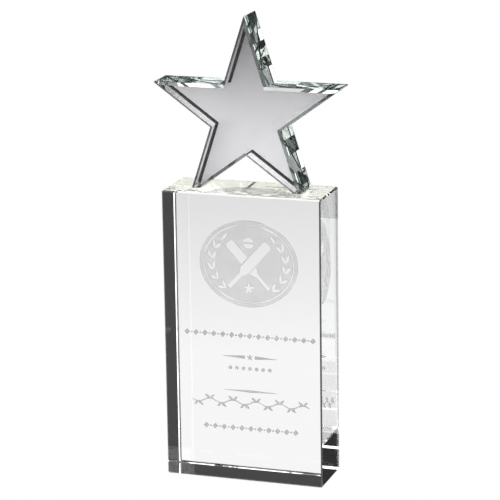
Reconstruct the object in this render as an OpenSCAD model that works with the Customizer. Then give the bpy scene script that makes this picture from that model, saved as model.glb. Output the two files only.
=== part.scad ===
// Star trophy: a clear crystal block that carries a mirror-backed crystal star on two ground feet.
// Millimetres. +Z is up and the front faces -Y. The origin is the middle of the block's underside.

/* [Block] */
// Width of the block, left to right
block_w = 70; // [60:1:90]
// Depth of the block, front to back
block_d = 26; // [22:1:40]
// Height of the block
block_h = 126; // [110:1:160]
// Width of the polished chamfer along every edge of the block
block_chamfer = 0.6; // [0.3:0.1:1.5]

/* [Star] */
// Distance from the star's centre to where the edges of an arm would meet
star_r = 43; // [36:0.5:48]
// Thickness of the star
star_t = 16; // [10:0.5:18]
// Length ground off each sharp tip
tip_trim = 0.5; // [0.2:0.1:1.5]
// How far the two feet are ground up, past where their tips would be
foot_cut = 3.4; // [2:0.1:6]
// Distance from the block's front face back to the star's front face
star_setback = 7.2; // [3:0.1:8]
// Width of the bevel round the star's front face
front_bevel = 1.2; // [0.4:0.1:2]
// Width of the bevel round the star's rear face
rear_bevel = 0.7; // [0.4:0.1:2]

/* [Coatings and bonds] */
// Thickness of the silver film on the star's rear face
mirror_t = 0.12; // [0.1:0.01:0.3]
// Thickness of the lacquer over the silver film
backing_t = 0.18; // [0.1:0.01:0.4]
// Thickness of the cured adhesive under each foot
bond_t = 0.15; // [0.1:0.01:0.5]
// How far the adhesive spreads past the foot all round
bond_spread = 0.25; // [0.1:0.05:0.6]

/* [Engraving] */
// Depth of the engraving in the block's rear face
engrave_depth = 0.4; // [0.2:0.05:1]
// Sideways place of the engraving's centre line
engrave_x = -2.1; // [-3:0.1:3]
// Height of the emblem's centre
emblem_z = 92; // [88:1:94]
// Half width of the oval emblem
emblem_rx = 22; // [18:0.5:24]
// Half height of the oval emblem
emblem_rz = 19; // [18:0.5:21]
// Angle of each crossed bat from upright
bat_angle = 42; // [35:1:48]

/* [Hidden] */

overcut = 1;               // how far a cutter runs past the faces that it cuts
arms = 5;
arm_step = 360 / arms;
edge_ratio = cos(arm_step);                      // star centre to an edge line, over star_r
notch_ratio = edge_ratio / cos(arm_step / 2);    // star centre to a notch, over star_r

star_front = -block_d / 2 + star_setback;
star_back = star_front + star_t;
foot_z = block_h + bond_t;                       // height of the ground feet
star_z = foot_z + star_r * cos(arm_step / 2) - foot_cut;
tip_reach = star_r - tip_trim;

face_back = block_d / 2;
oval_steps = 96;

// The oval's clear inner line
line_inset = 1.5;
line_w = 0.6;
// The bats, their place in the oval and the gap where one passes behind the other
bat_w = 4.4;
handle_w = 1.7;
handle_len = 8;
blade_len = 15.5;
shoulder_len = 2.5;
toe_len = 0.9;             // the blade's blunt end, past its straight sides
toe_inset = 0.6;
cross_z = -0.8;
cross_reach = 13.5;        // from the end of the handle to the crossing
cross_gap = 0.6;
// The ball and the small star between the bats
ball_r = 2.5;
ball_z = 9.2;
seam_w = 0.5;
small_star_r = 3;
small_star_z = -10.8;
// The leaf sprays at the two sides of the oval
spray_pairs = 5;
spray_scale = 0.76;
spray_start = -52;
spray_step = 19;
leaf_len = 4.2;
leaf_w = 1.5;
leaf_lean = 27;

// Heights of the six ornament rows, and their widths
title_z = 59.9;
title_w = 59.4;
title_count = 15;
short_rule_z = 50.3;
short_rule_w = 24.6;
short_rule_t = 1.3;
dots_z = 45.2;
dots_w = 19.4;
dots_count = 7;
dots_r = 0.75;
fine_rule_z = 35;
fine_rule_w = 24.2;
fine_rule_t = 0.9;
vine_z = 29.6;
vine_w = 53;
base_row_z = 18;
base_row_w = 43.2;
base_row_count = 11;
// The rows' lozenges, their width as a share of the pitch, and the dots between them
row_h = 2.5;
lozenge_share = 0.6;
row_dot_r = 0.35;
// The star in the middle of the tapered rule, and the clear gap on each side of its middle
rule_star_r = 1.4;
rule_gap = 2.4;
// The vine's waves, stem and leaves
vine_waves = 5;
vine_swing = 0.9;
vine_stem = 0.5;
vine_steps = 80;
vine_leaf_len = 2.6;
vine_leaf_w = 1;
vine_leaf_leans = [38, 142];

dot_sides = 24;
ball_sides = 48;
leaf_steps = 8;            // straight pieces along each side of a leaf

// Colours
block_colour = [0.93, 0.95, 0.95, 0.35];
star_colour = [0.90, 0.94, 0.94, 0.35];
lacquer_colour = [0.10, 0.10, 0.11];
adhesive_colour = [0.92, 0.93, 0.90, 0.5];
fill_colour = [0.85, 0.86, 0.87];

// ---- outlines -------------------------------------------------------------------------------

// Points of a five-armed star whose edges are moved in by the given distance
function star_points(r, inset = 0) =
    let (reach = r - inset / edge_ratio)
    [for (i = [0:2 * arms - 1])
        let (a = i * arm_step / 2, d = i % 2 == 0 ? reach : reach * notch_ratio)
        [d * sin(a), d * cos(a)]];

// Points of an upright oval
function oval_points(rx, rz) =
    [for (i = [0:oval_steps - 1]) let (a = i * 360 / oval_steps) [rx * cos(a), rz * sin(a)]];

// Points of a leaf that runs along +X from the origin, pointed at both ends
function leaf_points(len, w) =
    let (n = leaf_steps)
    concat([for (i = [0:n]) [len * i / n, w / 2 * sin(180 * i / n)]],
           [for (i = [n - 1:-1:1]) [len * i / n, -w / 2 * sin(180 * i / n)]]);

// Height of the vine's stem at a distance x from its middle
function vine_height(x) = vine_swing * sin(360 * vine_waves * x / vine_w);

module lozenge(w, h) {
    polygon([[-w / 2, 0], [0, -h / 2], [w / 2, 0], [0, h / 2]]);
}

// A flat outline becomes a solid that fills the engraving, from its floor to the rear face.
// It is drawn as the front view shows it.
module fill_depth(z) {
    translate([engrave_x, face_back, z])
        rotate([90, 0, 0])
            linear_extrude(height = engrave_depth)
                children();
}

// ---- crystal --------------------------------------------------------------------------------

// A slab cut with the same chamfer along its four long edges
module chamfered_bar(w, h, len, c) {
    linear_extrude(height = len)
        polygon([[-w / 2 + c, -h / 2], [w / 2 - c, -h / 2], [w / 2, -h / 2 + c], [w / 2, h / 2 - c],
                 [w / 2 - c, h / 2], [-w / 2 + c, h / 2], [-w / 2, h / 2 - c], [-w / 2, -h / 2 + c]]);
}

module block_blank() {
    intersection() {
        chamfered_bar(block_w, block_d, block_h, block_chamfer);
        translate([0, block_d / 2, block_h / 2])
            rotate([90, 0, 0])
                chamfered_bar(block_w, block_h, block_d, block_chamfer);
        translate([-block_w / 2, 0, block_h / 2])
            rotate([90, 0, 90])
                chamfered_bar(block_d, block_h, block_w, block_chamfer);
    }
}

module crystal_block() {
    color(block_colour)
        difference() {
            block_blank();
            emblem_shape();
            inscription_shape();
        }
}

// The whole star before its tips and feet are ground: four rings of points from front to back,
// the outer two drawn in by the bevels, and a point in the middle of each face
module bevelled_star() {
    n = 2 * arms;
    ring_y = [star_front, star_front + front_bevel, star_back - rear_bevel, star_back];
    ring_inset = [front_bevel, 0, 0, rear_bevel];
    last = len(ring_y) - 1;
    front_middle = n * len(ring_y);
    back_middle = front_middle + 1;
    rings = [for (k = [0:last]) for (p = star_points(star_r, ring_inset[k]))
                [p[0], ring_y[k], p[1]]];
    walls = [for (k = [0:last - 1]) for (i = [0:n - 1])
                let (a = k * n + i, b = k * n + (i + 1) % n)
                for (triangle = [[a, a + n, b + n], [a, b + n, b]]) triangle];
    front = [for (i = [0:n - 1]) [front_middle, i, (i + 1) % n]];
    back = [for (i = [0:n - 1]) [back_middle, last * n + (i + 1) % n, last * n + i]];
    translate([0, 0, star_z])
        polyhedron(concat(rings, [[0, star_front, 0], [0, star_back, 0]]),
                   concat(front, back, walls));
}

// A five-sided bar whose flats blunt the tips
module tip_limit() {
    corner = tip_reach / cos(arm_step / 2);
    translate([0, star_back + overcut, star_z])
        rotate([90, 0, 0])
            linear_extrude(height = star_t + 2 * overcut)
                polygon([for (i = [0:arms - 1])
                    let (a = (i + 0.5) * arm_step)
                    [corner * sin(a), corner * cos(a)]]);
}

// Everything above the plane on which the feet are ground
module above_feet(z) {
    translate([-2 * star_r, -2 * block_d, z])
        cube([4 * star_r, 4 * block_d, 3 * star_r]);
}

module crystal_star() {
    color(star_colour)
        intersection() {
            bevelled_star();
            tip_limit();
            above_feet(foot_z);
        }
}

// ---- coatings and bonds ---------------------------------------------------------------------

// A coat of the given thickness over the star's flat rear face
module star_coat(y, t) {
    intersection() {
        translate([0, y + t, star_z])
            rotate([90, 0, 0])
                linear_extrude(height = t)
                    polygon(star_points(star_r, rear_bevel));
        above_feet(foot_z);
    }
}

module star_mirror() {
    color("silver")
        star_coat(star_back, mirror_t);
}

module star_backing() {
    color(lacquer_colour)
        star_coat(star_back + mirror_t, backing_t);
}

// The thin layer of adhesive between one foot and the block's top, on the side given by its sign
module bond(side) {
    color(adhesive_colour)
        intersection() {
            translate([0, star_back - rear_bevel + bond_spread, star_z])
                rotate([90, 0, 0])
                    linear_extrude(height = star_t - front_bevel - rear_bevel + 2 * bond_spread)
                        polygon(star_points(star_r, -bond_spread));
            translate([side > 0 ? 0 : -star_r, -block_d, block_h])
                cube([star_r, 2 * block_d, bond_t]);
        }
}

module bond_left() {
    bond(-1);
}

module bond_right() {
    bond(1);
}

// ---- engraving ------------------------------------------------------------------------------

// One bat, blade up, standing on the end of its handle and grown all round by the given distance
module bat(grow = 0) {
    handle = handle_w / 2 + grow;
    blade = bat_w / 2 + grow;
    blade_foot = handle_len + shoulder_len;
    blade_top = blade_foot + blade_len;
    toe = blade - toe_inset;
    toe_top = blade_top + toe_len + grow;
    polygon([[-handle, -grow], [handle, -grow], [handle, handle_len], [blade, blade_foot],
             [blade, blade_top], [toe, toe_top], [-toe, toe_top], [-blade, blade_top],
             [-blade, blade_foot], [-handle, handle_len]]);
}

// A bat leaning to one side, with its crossing point on the middle line
module leaning_bat(side, grow = 0) {
    translate([0, cross_z])
        rotate(-side * bat_angle)
            translate([0, -cross_reach])
                bat(grow);
}

module crossed_bats() {
    leaning_bat(1);
    difference() {
        leaning_bat(-1);
        leaning_bat(1, cross_gap);
    }
}

module ball() {
    difference() {
        translate([0, ball_z])
            circle(r = ball_r, $fn = ball_sides);
        translate([-ball_r, ball_z - seam_w / 2])
            square([2 * ball_r, seam_w]);
    }
}

// Pairs of leaves that follow the oval up its right side, and one more at the end
module leaf_spray() {
    for (i = [0:spray_pairs]) {
        a = spray_start + spray_step * i;
        leans = i < spray_pairs ? [-leaf_lean, leaf_lean] : [0];
        translate([spray_scale * emblem_rx * cos(a), spray_scale * emblem_rz * sin(a)])
            for (lean = leans)
                rotate(a + 90 + lean)
                    polygon(leaf_points(leaf_len, leaf_w));
    }
}

module emblem_outline() {
    difference() {
        polygon(oval_points(emblem_rx, emblem_rz));
        difference() {
            polygon(oval_points(emblem_rx - line_inset, emblem_rz - line_inset));
            polygon(oval_points(emblem_rx - line_inset - line_w, emblem_rz - line_inset - line_w));
        }
        crossed_bats();
        ball();
        translate([0, small_star_z])
            polygon(star_points(small_star_r));
        leaf_spray();
        mirror([1, 0])
            leaf_spray();
    }
}

module emblem_shape() {
    fill_depth(emblem_z)
        emblem_outline();
}

// A row of lozenges with a small dot between each pair
module lozenge_row(w, count) {
    pitch = w / (count - 1 + lozenge_share);
    for (i = [0:count - 1])
        translate([(i - (count - 1) / 2) * pitch, 0])
            lozenge(lozenge_share * pitch, row_h);
    for (i = [0:count - 2])
        translate([(i - (count - 2) / 2) * pitch, 0])
            circle(r = row_dot_r, $fn = dot_sides);
}

// Two bars that taper away from the middle, with a small star between them
module starred_rule(w, thick) {
    for (side = [-1, 1])
        polygon([[side * rule_gap, -thick / 2], [side * w / 2, 0], [side * rule_gap, thick / 2]]);
    polygon(star_points(rule_star_r));
}

module dot_row(w, count, r) {
    for (i = [0:count - 1])
        translate([(i / (count - 1) - 0.5) * (w - 2 * r), 0])
            circle(r = r, $fn = dot_sides);
}

// A waving stem with a leaf above each crest and below each trough
module vine() {
    xs = [for (i = [0:vine_steps]) (i / vine_steps - 0.5) * vine_w];
    polygon(concat([for (x = xs) [x, vine_height(x) - vine_stem / 2]],
                   [for (i = [vine_steps:-1:0]) [xs[i], vine_height(xs[i]) + vine_stem / 2]]));
    for (i = [0:2 * vine_waves - 1]) {
        x = (i - vine_waves + 0.5) * vine_w / (2 * vine_waves);
        up = vine_height(x) > 0 ? 1 : -1;
        for (lean = vine_leaf_leans)
            translate([x, vine_height(x)])
                rotate(up * lean)
                    polygon(leaf_points(vine_leaf_len, vine_leaf_w));
    }
}

module inscription_shape() {
    fill_depth(title_z)
        lozenge_row(title_w, title_count);
    fill_depth(short_rule_z)
        starred_rule(short_rule_w, short_rule_t);
    fill_depth(dots_z)
        dot_row(dots_w, dots_count, dots_r);
    fill_depth(fine_rule_z)
        lozenge(fine_rule_w, fine_rule_t);
    fill_depth(vine_z)
        vine();
    fill_depth(base_row_z)
        lozenge_row(base_row_w, base_row_count);
}

module emblem_infill() {
    color(fill_colour)
        emblem_shape();
}

module inscription_infill() {
    color(fill_colour)
        inscription_shape();
}

crystal_block();
crystal_star();
star_mirror();
star_backing();
bond_left();
bond_right();
emblem_infill();
inscription_infill();
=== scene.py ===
"""Looks for the star trophy: a clear crystal block that carries a mirror-backed crystal star."""
import math

import bmesh
import bpy
from mathutils import Matrix, Vector


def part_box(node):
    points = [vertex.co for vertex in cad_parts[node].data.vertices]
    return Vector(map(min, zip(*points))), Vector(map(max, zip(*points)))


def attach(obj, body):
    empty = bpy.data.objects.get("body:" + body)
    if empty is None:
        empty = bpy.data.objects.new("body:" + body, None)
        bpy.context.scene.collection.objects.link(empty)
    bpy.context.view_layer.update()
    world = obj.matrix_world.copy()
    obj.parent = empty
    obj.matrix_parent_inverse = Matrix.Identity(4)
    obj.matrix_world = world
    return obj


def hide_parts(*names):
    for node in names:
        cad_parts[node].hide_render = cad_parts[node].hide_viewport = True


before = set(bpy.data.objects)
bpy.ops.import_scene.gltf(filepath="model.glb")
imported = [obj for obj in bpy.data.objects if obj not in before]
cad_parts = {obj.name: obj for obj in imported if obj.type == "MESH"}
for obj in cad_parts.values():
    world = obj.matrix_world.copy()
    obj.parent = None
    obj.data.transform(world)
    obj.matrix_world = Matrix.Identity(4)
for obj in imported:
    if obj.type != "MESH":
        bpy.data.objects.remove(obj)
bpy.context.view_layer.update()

MM = 0.001

# Coatings
EMBED = 0.04 * MM          # how far a coating's face sits inside the glass, so that no faces coincide
LIP_T = 0.10 * MM          # thickness of the lacquer on the bevel
MERGE = 0.001 * MM         # corners nearer than this are one corner
MAX_SPREAD = 2.0           # the most that a sharp corner moves, in steps of the swelling

# Camera: an angle round the trophy, a height angle, a roll, and the point that it looks at
CAMERA_AZIMUTH = 18.68
CAMERA_ELEVATION = 14.70
CAMERA_ROLL = -0.84
CAMERA_DISTANCE = 1.0765
CAMERA_TARGET = Vector((-0.00032, 0, 0.09912))
CAMERA_LENS = 182.53
SENSOR_WIDTH = 36

# Shapes that the CAD model has, for marks that follow them
FRONT_BEVEL = 1.2 * MM
CHAMFER = 0.6 * MM
STAR_R = 43 * MM           # from the star's middle to its sharp tips
TIP_TRIM = 0.5 * MM        # ground off each tip
MARGIN = 0.01 * MM

# Materials
GLASS_IOR = 1.52
CLEAR = (1, 1, 1, 1)
# painted shade: the nearly black colour given to glass bevels and chamfers
PAINTED_BEVEL_SHADE = (0.01, 0.012, 0.012, 1)
BLOCK_TINT = (0.86, 0.90, 0.88)
BLOCK_DENSITY = 3
STAR_TINT = (0.74, 0.90, 0.85)
STAR_DENSITY = 8
# painted reflection in the silver's colour: bright at the bottom of the film, dark at its top
PAINTED_REFLECTION_LOW = (1.0, 0.955, 0.994, 1)
PAINTED_REFLECTION_HIGH = (0.224, 0.214, 0.222, 1)
SILVER_GLOSS = (0.95, 0.95, 0.95, 1)
REFLECTION_FADE_START = 4 * MM                     # above the bottom of the silver film
REFLECTION_FADE_END = 20 * MM                      # above its top
CLOUD_SHIFT = 2 * MM                    # how far the clouding moves the fade of the painted reflection
GLOSS_ROUGHNESS = 0.02
GLOSS_SLANT = (0.050, 0.075)            # Layer Weight facing values between which the gloss takes over
LACQUER = (0.010, 0.010, 0.011, 1)
THIN_LACQUER = (0.018, 0.018, 0.019, 1)
ADHESIVE = (0.99, 0.99, 0.975, 1)
WHITE = (1, 1, 1, 1)

# Stage: heights are just under the trophy, and the sheet's angle and distances start at the block's rear
# right edge
FLOOR_SIZE = 6
FLOOR_Z = -0.2 * MM
SHEET_Z = -0.1 * MM
MAT_COLOUR = (1, 0.975, 0.90, 1)
MAT_LIGHT = 1.65
SHEET_ANGLE = 15.5
SHEET_NEAR = 45 * MM
SHEET_FAR = 430 * MM
SHEET_WIDTH = 60 * MM

# Light that the glass meets, by direction, in degrees. A card is a range of azimuths, a range of elevations
# and its brightness, or, for a shade, the share of the room's light that it takes away. Azimuths are positive
# to the right. They are 0 straight in front of the trophy for the room, its shades and the front lights, and
# 0 straight behind it for the table and the rear lights.
CARD_BLUR = 2
GAP_LIGHT = 0.04
FLOOR_FADE = (-52, -42)
FLOOR_LIGHT = 0.9
TABLE_CARDS = (((-36, 8), (-60, 5), 1),
               ((-115, -58), (-60, 9), 1))
TABLE_FADE = (-17, -12)
TABLE_LIGHT = (1.22, 0.87)              # at its near and far end
ROOM_CARD = ((-75, 75), (-60, 95), 1)
ROOM_FADE = (-30, -22)
ROOM_LIGHT = (0.9, 2.75)                # below and above
ROOM_SHADES = (((-32, -6), (-24, -6), 0.8),      # mirrored in the block's front face
               ((13, 26), (-24, -6), 0.8),       # mirrored in the dark strip on the block's left
               ((-28, -8), (8, 28), 0.8),        # mirrored in the dark strip along its bottom
               ((32, 62), (-60, -4), 0.62),      # seen through the block from behind
               ((-75, -34), (-60, -6), 0.65))    # mirrored in the silver when it is seen from the right
FRONT_LIGHTS = (((-3, 48), (17, 46), 2.2),       # softbox
                ((3, 14), (-26, -14), 1.8),      # small low card
                ((52, 130), (16, 46), 1.6),      # softbox on the right
                ((-190, 190), (46, 95), 2.8))    # overhead light, all round
REAR_LIGHTS = (((-60, -30), (-60, -22), 1.0),    # near part of the table, on the left
               ((33, 62), (-32, 5), 0.8),        # pale low card on the right
               ((27, 60), (7, 50), 2.0),         # softbox on the right
               ((-8, 9), (21, 50), 2.2),         # softbox in the middle
               ((14, 33), (27, 50), 1.9))        # softbox right of the middle, higher
ROOM_STRENGTH = 0.8
BACKDROP_STRENGTH = 1.0


# ---- node helpers ---------------------------------------------------------------------------

class Tree:
    """A short way to add linked nodes to a node tree, which starts with its output node."""

    def __init__(self, owner, output="ShaderNodeOutputMaterial"):
        owner.use_nodes = True
        self.tree = owner.node_tree
        self.tree.nodes.clear()
        self.output = self.node(output)

    def node(self, kind, **settings):
        made = self.tree.nodes.new(kind)
        for name, value in settings.items():
            setattr(made, name, value)
        return made

    def feed(self, socket, value):
        if isinstance(value, bpy.types.NodeSocket):
            self.tree.links.new(value, socket)
        else:
            socket.default_value = value

    def math(self, operation, *values):
        made = self.node("ShaderNodeMath", operation=operation)
        for i, value in enumerate(values):
            self.feed(made.inputs[i], value)
        return made.outputs[0]

    def parts(self, vector):
        made = self.node("ShaderNodeSeparateXYZ")
        self.feed(made.inputs[0], vector)
        return made.outputs

    def ramp(self, value, low, high, to_low=0.0, to_high=1.0, kind="SMOOTHSTEP"):
        made = self.node("ShaderNodeMapRange", interpolation_type=kind)
        self.feed(made.inputs["Value"], value)
        for name, number in (("From Min", low), ("From Max", high), ("To Min", to_low), ("To Max", to_high)):
            self.feed(made.inputs[name], number)
        return made.outputs["Result"]

    def mix_colour(self, factor, a, b):
        made = self.node("ShaderNodeMix", data_type="RGBA")
        self.feed(made.inputs["Factor"], factor)
        self.feed(made.inputs["A"], a)
        self.feed(made.inputs["B"], b)
        return made.outputs["Result"]

    def noise(self, place, scale, detail, roughness):
        made = self.node("ShaderNodeTexNoise")
        self.feed(made.inputs["Vector"], place)
        self.feed(made.inputs["Scale"], scale)
        self.feed(made.inputs["Detail"], detail)
        self.feed(made.inputs["Roughness"], roughness)
        return made.outputs["Fac"]

    def bump(self, height, strength, distance):
        made = self.node("ShaderNodeBump")
        self.feed(made.inputs["Strength"], strength)
        self.feed(made.inputs["Distance"], distance)
        self.feed(made.inputs["Height"], height)
        return made.outputs["Normal"]

    def between(self, value, low, high):
        """1 where the value is between two limits, and 0 elsewhere."""
        above = self.math("GREATER_THAN", value, low)
        below = self.math("LESS_THAN", value, high)
        return self.math("MULTIPLY", above, below)


def surface(name):
    """A new material, with its tree, its Principled shader and the object coordinates of the surface."""
    material = bpy.data.materials.new(name)
    t = Tree(material)
    shader = t.node("ShaderNodeBsdfPrincipled")
    t.feed(t.output.inputs["Surface"], shader.outputs[0])
    place = t.node("ShaderNodeTexCoord").outputs["Object"]
    return material, t, shader, place


# ---- materials ------------------------------------------------------------------------------

def crystal(name, tint, density, bevel_shade_mask):
    """Optical crystal: its tint deepens with the length of glass, and the polish has faint wiping marks.
    Where the mask is 1 its colour is nearly black, painted shade on bevels that throw the light aside.
    """
    material, t, shader, place = surface(name)
    # painted shade: the masked bevels and chamfers get nearly black glass colour
    t.feed(shader.inputs["Base Color"], t.mix_colour(bevel_shade_mask(t, place), CLEAR, PAINTED_BEVEL_SHADE))
    depth = t.node("ShaderNodeVolumeAbsorption")
    depth.inputs["Color"].default_value = (*tint, 1)
    depth.inputs["Density"].default_value = density
    t.feed(t.output.inputs["Volume"], depth.outputs[0])
    shader.inputs["Transmission Weight"].default_value = 1
    shader.inputs["IOR"].default_value = GLASS_IOR
    wiping = t.noise(place, scale=40, detail=3, roughness=0.6)
    t.feed(shader.inputs["Roughness"], t.ramp(wiping, 0.45, 0.75, to_low=0, to_high=0.006))
    return material


def star_bevel_shade(t, place):
    """The front bevels, apart from those on top of the two side arms, where painted shade darkens the glass
    in place of the light that the bevels throw aside.
    """
    low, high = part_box("crystal_star")
    y, z = t.parts(place)[1:3]
    bevel = t.between(y, low.y + MARGIN, low.y + FRONT_BEVEL + MARGIN)
    middle = high.z + TIP_TRIM - STAR_R
    arm_top = middle + STAR_R * math.cos(2 * math.pi / 5)
    on_top = t.between(z, arm_top - FRONT_BEVEL, arm_top + 5 * MARGIN)
    return t.math("MULTIPLY", bevel, t.math("SUBTRACT", 1.0, on_top))


def block_chamfer_shade(t, place):
    """The chamfers on the right side of the block, where painted shade darkens the glass in place of the
    light that they throw aside.
    """
    low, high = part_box("crystal_block")
    x, _, z = t.parts(place)
    right = t.between(x, high.x - CHAMFER - MARGIN, high.x - MARGIN)
    return t.math("MULTIPLY", right, t.between(z, low.z + CHAMFER, high.z - CHAMFER))


def silver_film():
    """Satin silvering whose colour holds a painted reflection, bright at the bottom and darkening towards the
    top, with faint clouding. At a slant its gloss takes over.
    """
    low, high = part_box("star_mirror")
    material, t, shader, place = surface("silver_film")
    shader.inputs["Metallic"].default_value = 1
    cloud = t.noise(place, scale=35, detail=4, roughness=0.6)
    height = t.math("ADD", t.parts(place)[2], t.math("MULTIPLY", cloud, CLOUD_SHIFT))
    reflection_fade = t.ramp(height, low.z + REFLECTION_FADE_START, high.z + REFLECTION_FADE_END)
    slant = t.node("ShaderNodeLayerWeight")
    slant.inputs["Blend"].default_value = 0.5
    satin = t.ramp(slant.outputs["Facing"], *GLOSS_SLANT, to_low=1, to_high=0)
    # painted reflection: the film's colour runs from bright at the bottom to dark at the top
    painted_reflection = t.mix_colour(reflection_fade, PAINTED_REFLECTION_LOW, PAINTED_REFLECTION_HIGH)
    t.feed(shader.inputs["Base Color"], t.mix_colour(satin, SILVER_GLOSS, painted_reflection))
    extra = t.ramp(cloud, 0.3, 0.7, to_low=0.55, to_high=0.58)
    t.feed(shader.inputs["Roughness"], t.math("ADD", GLOSS_ROUGHNESS, t.math("MULTIPLY", satin, extra)))
    return material


def backing_lacquer():
    """Sprayed charcoal lacquer with orange peel and slightly uneven cover."""
    material, t, shader, place = surface("backing_lacquer")
    cover = t.noise(place, scale=60, detail=3, roughness=0.6)
    t.feed(shader.inputs["Base Color"], t.mix_colour(t.ramp(cover, 0.35, 0.7), LACQUER, THIN_LACQUER))
    shader.inputs["Specular IOR Level"].default_value = 0.3
    t.feed(shader.inputs["Roughness"], t.ramp(cover, 0.3, 0.7, to_low=0.30, to_high=0.42))
    peel = t.noise(place, scale=1400, detail=2, roughness=0.5)
    t.feed(shader.inputs["Normal"], t.bump(peel, strength=0.25, distance=0.05 * MM))
    return material


def clear_adhesive():
    """Cured clear adhesive with a few tiny bubbles."""
    material, t, shader, place = surface("clear_adhesive")
    shader.inputs["Base Color"].default_value = ADHESIVE
    shader.inputs["Transmission Weight"].default_value = 1
    shader.inputs["IOR"].default_value = GLASS_IOR
    bubbles = t.noise(place, scale=900, detail=2, roughness=0.5)
    t.feed(shader.inputs["Roughness"], t.ramp(bubbles, 0.6, 0.75, to_low=0.01, to_high=0.25))
    return material


def frosted_fill(name, dark, light):
    """Frosted engraving: fine grain, and a cover that varies a little between two greys."""
    material, t, shader, place = surface(name)
    cover = t.noise(place, scale=120, detail=3, roughness=0.6)
    greys = t.mix_colour(t.ramp(cover, 0.35, 0.7), (dark, dark, dark, 1), (light, light, light, 1))
    t.feed(shader.inputs["Base Color"], greys)
    shader.inputs["Transmission Weight"].default_value = 0.9
    shader.inputs["IOR"].default_value = GLASS_IOR
    grain = t.noise(place, scale=3000, detail=2, roughness=0.5)
    t.feed(shader.inputs["Roughness"], t.ramp(grain, 0.3, 0.7, to_low=0.04, to_high=0.08))
    return material


# ---- pieces ---------------------------------------------------------------------------------

def dress(node, material):
    """Gives a CAD node its material."""
    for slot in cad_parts[node].material_slots:
        slot.material = material


def mesh_of(node):
    """An editable copy of a CAD node's mesh, with its corners joined."""
    bm = bmesh.new()
    bm.from_mesh(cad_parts[node].data)
    bmesh.ops.remove_doubles(bm, verts=bm.verts, dist=MERGE)
    bm.normal_update()
    return bm


def new_piece(bm, name):
    """A new object from an editable mesh, which is used up."""
    mesh = bpy.data.meshes.new(name)
    bm.to_mesh(mesh)
    bm.free()
    piece = bpy.data.objects.new(name, mesh)
    bpy.context.scene.collection.objects.link(piece)
    return piece


def copy_of(node, name, grow, back_limit):
    """A new piece like a CAD node, swollen by a hair and kept in front of a plane."""
    bm = mesh_of(node)
    shifts = [(v, v.normal * grow * min(v.calc_shell_factor(), MAX_SPREAD)) for v in bm.verts]
    for v, shift in shifts:
        v.co += shift
        v.co.y = min(v.co.y, back_limit)
    return new_piece(bm, name)


def stand_in(piece, node, material):
    """The piece takes a CAD node's place on the trophy."""
    piece.data.materials.clear()
    piece.data.materials.append(material)
    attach(piece, "root")
    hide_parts(node)


def silvering():
    """The silver film, with its front face inside the star's glass."""
    low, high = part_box("star_mirror")
    piece = copy_of("star_mirror", "silvering", 0, high.y)
    for v in piece.data.vertices:
        if v.co.y < (low.y + high.y) / 2:
            v.co.y = low.y - EMBED
    stand_in(piece, "star_mirror", silver_film())


def lacquer_coat():
    """The lacquer covers the silvering and laps over the bevel round the star's rear face."""
    film_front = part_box("star_mirror")[0].y
    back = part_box("star_backing")[1].y
    bm = mesh_of("crystal_star")
    facing_away = [f for f in bm.faces if f.normal.y < 0.5]
    bmesh.ops.delete(bm, geom=facing_away, context="FACES")
    bm.normal_update()
    # The rear face and its bevel become the coat's inner side, and their twins its outer side
    rest = {v: (v.co.copy(), v.normal.copy()) for v in bm.verts}
    inner = list(bm.faces)
    twins = bmesh.ops.duplicate(bm, geom=bm.verts[:] + bm.edges[:] + bm.faces[:])["vert_map"]
    for v, (co, normal) in rest.items():
        on_rear_face = co.y > film_front - EMBED
        v.co = co - normal * EMBED / 2
        twins[v].co = co + normal * (back - film_front if on_rear_face else LIP_T)
        twins[v].co.y = min(twins[v].co.y, back)
    rim = [e for e in bm.edges if e.is_boundary and e.verts[0] in rest]
    for e in rim:
        a, b = e.verts
        bm.faces.new((a, b, twins[b], twins[a]))
    bmesh.ops.reverse_faces(bm, faces=inner)
    bmesh.ops.recalc_face_normals(bm, faces=bm.faces)
    stand_in(new_piece(bm, "lacquer_coat"), "star_backing", backing_lacquer())


def engraving(node, name, material):
    """The fill of an engraving, a hair larger than its pocket and just short of the block's rear face."""
    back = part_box(node)[1].y
    piece = copy_of(node, name, EMBED, back - EMBED / 3)
    stand_in(piece, node, material)


def adhesive(node, name, material):
    """A bond, which reaches a hair into the foot above it and the block below it."""
    low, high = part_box(node)
    piece = copy_of(node, name, 0, high.y)
    middle = (low.z + high.z) / 2
    for v in piece.data.vertices:
        v.co.z += EMBED if v.co.z > middle else -EMBED
    stand_in(piece, node, material)


# ---- studio ---------------------------------------------------------------------------------

def lit_sheet(name, corners, height, colour, strength):
    """A level sheet that gives off an even light."""
    mesh = bpy.data.meshes.new(name)
    mesh.from_pydata([(x, y, height) for x, y in corners], [], [(0, 1, 2, 3)])
    sheet = bpy.data.objects.new(name, mesh)
    bpy.context.scene.collection.objects.link(sheet)
    material = bpy.data.materials.new(name)
    t = Tree(material)
    glow = t.node("ShaderNodeEmission")
    glow.inputs["Color"].default_value = colour
    glow.inputs["Strength"].default_value = strength
    t.feed(t.output.inputs["Surface"], glow.outputs[0])
    mesh.materials.append(material)
    return sheet


def studio_floor():
    """A plain white floor for the camera. The light inside the glass comes from the studio light instead."""
    r = FLOOR_SIZE
    floor = lit_sheet("floor", [(-r, -r), (r, -r), (r, r), (-r, r)], FLOOR_Z, WHITE, 1)
    floor.visible_transmission = False
    floor.visible_glossy = False
    floor.visible_diffuse = False


def light_mat():
    """The lit table under the block, as the light inside the block meets it."""
    low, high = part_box("crystal_block")
    corners = [(low.x, low.y), (high.x, low.y), (high.x, high.y), (low.x, high.y)]
    mat = lit_sheet("light_mat", corners, SHEET_Z, MAT_COLOUR, MAT_LIGHT)
    mat.visible_camera = False


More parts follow.
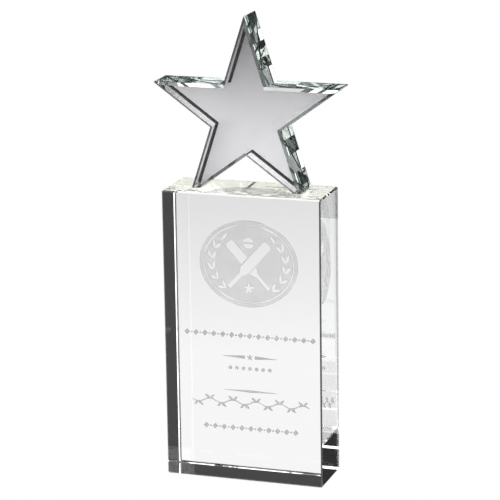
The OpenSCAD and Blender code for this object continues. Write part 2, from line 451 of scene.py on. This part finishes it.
def side_sheet():
    """A white sheet on the table behind the trophy, to its right, which the block's right face reflects."""
    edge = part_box("crystal_block")[1]
    slant = math.tan(math.radians(SHEET_ANGLE))
    near_x = edge.x + slant * SHEET_NEAR
    far_x = edge.x + slant * SHEET_FAR
    near_y = edge.y + SHEET_NEAR
    far_y = edge.y + SHEET_FAR
    corners = [(near_x, near_y), (near_x + SHEET_WIDTH, near_y),
               (far_x + SHEET_WIDTH, far_y), (far_x, far_y)]
    sheet = lit_sheet("side_sheet", corners, SHEET_Z, WHITE, 1)
    sheet.visible_camera = False


def within(t, angle, limits):
    """1 where an angle is between two limits, with soft edges, and 0 elsewhere."""
    rise = t.ramp(angle, limits[0] - CARD_BLUR, limits[0] + CARD_BLUR)
    fall = t.ramp(angle, limits[1] - CARD_BLUR, limits[1] + CARD_BLUR, to_low=1, to_high=0)
    return t.math("MULTIPLY", rise, fall)


def card_light(t, azimuth, elevation, card):
    """The light of one card in a direction."""
    azimuths, elevations, brightness = card
    cover = t.math("MULTIPLY", within(t, azimuth, azimuths), within(t, elevation, elevations))
    return t.math("MULTIPLY", cover, brightness)


def brightest(t, azimuth, elevation, cards, light=0.0):
    """The brightest of a light and some cards in a direction."""
    for card in cards:
        light = t.math("MAXIMUM", light, card_light(t, azimuth, elevation, card))
    return light


def degrees(t, function, *values):
    """An inverse trigonometric function in degrees."""
    return t.math("MULTIPLY", t.math(function, *values), 180 / math.pi)


def studio_light():
    """A pale table behind, a pale room in front, softboxes, and dark gaps between them.

    The camera itself sees a plain white backdrop.
    """
    world = bpy.data.worlds.new("studio")
    bpy.context.scene.world = world
    t = Tree(world, "ShaderNodeOutputWorld")
    x, y, z = t.parts(t.node("ShaderNodeTexCoord").outputs["Generated"])
    from_rear = degrees(t, "ARCTAN2", x, y)
    from_front = degrees(t, "ARCTAN2", x, t.math("MULTIPLY", y, -1.0))
    elevation = degrees(t, "ARCSINE", z)

    floor = t.ramp(elevation, *FLOOR_FADE, to_low=FLOOR_LIGHT, to_high=0)
    light = t.math("MAXIMUM", GAP_LIGHT, floor)

    table = brightest(t, from_rear, elevation, TABLE_CARDS)
    table = t.math("MULTIPLY", table, t.ramp(elevation, *TABLE_FADE, *TABLE_LIGHT, kind="LINEAR"))
    light = t.math("MAXIMUM", light, table)

    room = card_light(t, from_front, elevation, ROOM_CARD)
    room = t.math("MULTIPLY", room, t.ramp(elevation, *ROOM_FADE, *ROOM_LIGHT))
    for shade in ROOM_SHADES:
        room = t.math("MULTIPLY", room, t.math("SUBTRACT", 1.0, card_light(t, from_front, elevation, shade)))
    light = t.math("MAXIMUM", light, room)

    light = brightest(t, from_front, elevation, FRONT_LIGHTS, light)
    light = brightest(t, from_rear, elevation, REAR_LIGHTS, light)

    background = t.node("ShaderNodeBackground")
    background.inputs["Color"].default_value = WHITE
    seen = t.math("MULTIPLY", t.node("ShaderNodeLightPath").outputs["Is Camera Ray"], BACKDROP_STRENGTH)
    t.feed(background.inputs["Strength"], t.math("MAXIMUM", t.math("MULTIPLY", light, ROOM_STRENGTH), seen))
    t.feed(t.output.inputs["Surface"], background.outputs[0])


def add_camera():
    """The photograph's point of view."""
    azimuth, elevation, roll = (math.radians(v) for v in (CAMERA_AZIMUTH, CAMERA_ELEVATION, CAMERA_ROLL))
    back = Vector((math.sin(azimuth) * math.cos(elevation),
                   -math.cos(azimuth) * math.cos(elevation),
                   math.sin(elevation)))
    right = Vector((math.cos(azimuth), math.sin(azimuth), 0))
    up = back.cross(right)
    rolled_right = math.cos(roll) * right + math.sin(roll) * up
    rolled_up = math.cos(roll) * up - math.sin(roll) * right
    data = bpy.data.cameras.new("camera")
    data.lens = CAMERA_LENS
    data.sensor_width = SENSOR_WIDTH
    data.clip_end = 50
    camera = bpy.data.objects.new("camera", data)
    turn = Matrix((rolled_right, rolled_up, back)).transposed().to_4x4()
    camera.matrix_world = Matrix.Translation(CAMERA_TARGET + back * CAMERA_DISTANCE) @ turn
    bpy.context.scene.collection.objects.link(camera)
    bpy.context.scene.camera = camera


def light_paths():
    """Enough bounces for light that runs to and fro inside the glass, and plain colours."""
    scene = bpy.context.scene
    scene.cycles.max_bounces = 24
    scene.cycles.glossy_bounces = 16
    scene.cycles.transmission_bounces = 24
    scene.view_settings.view_transform = "Standard"


def main():
    dress("crystal_block", crystal("block_crystal", BLOCK_TINT, BLOCK_DENSITY, block_chamfer_shade))
    dress("crystal_star", crystal("star_crystal", STAR_TINT, STAR_DENSITY, star_bevel_shade))
    silvering()
    lacquer_coat()
    adhesive_material = clear_adhesive()
    adhesive("bond_left", "adhesive_left", adhesive_material)
    adhesive("bond_right", "adhesive_right", adhesive_material)
    engraving("emblem_infill", "emblem_frost", frosted_fill("emblem_fill", dark=0.85, light=0.89))
    engraving("inscription_infill", "ornament_frost", frosted_fill("ornament_fill", dark=0.60, light=0.68))
    studio_floor()
    light_mat()
    side_sheet()
    studio_light()
    add_camera()
    light_paths()


main()
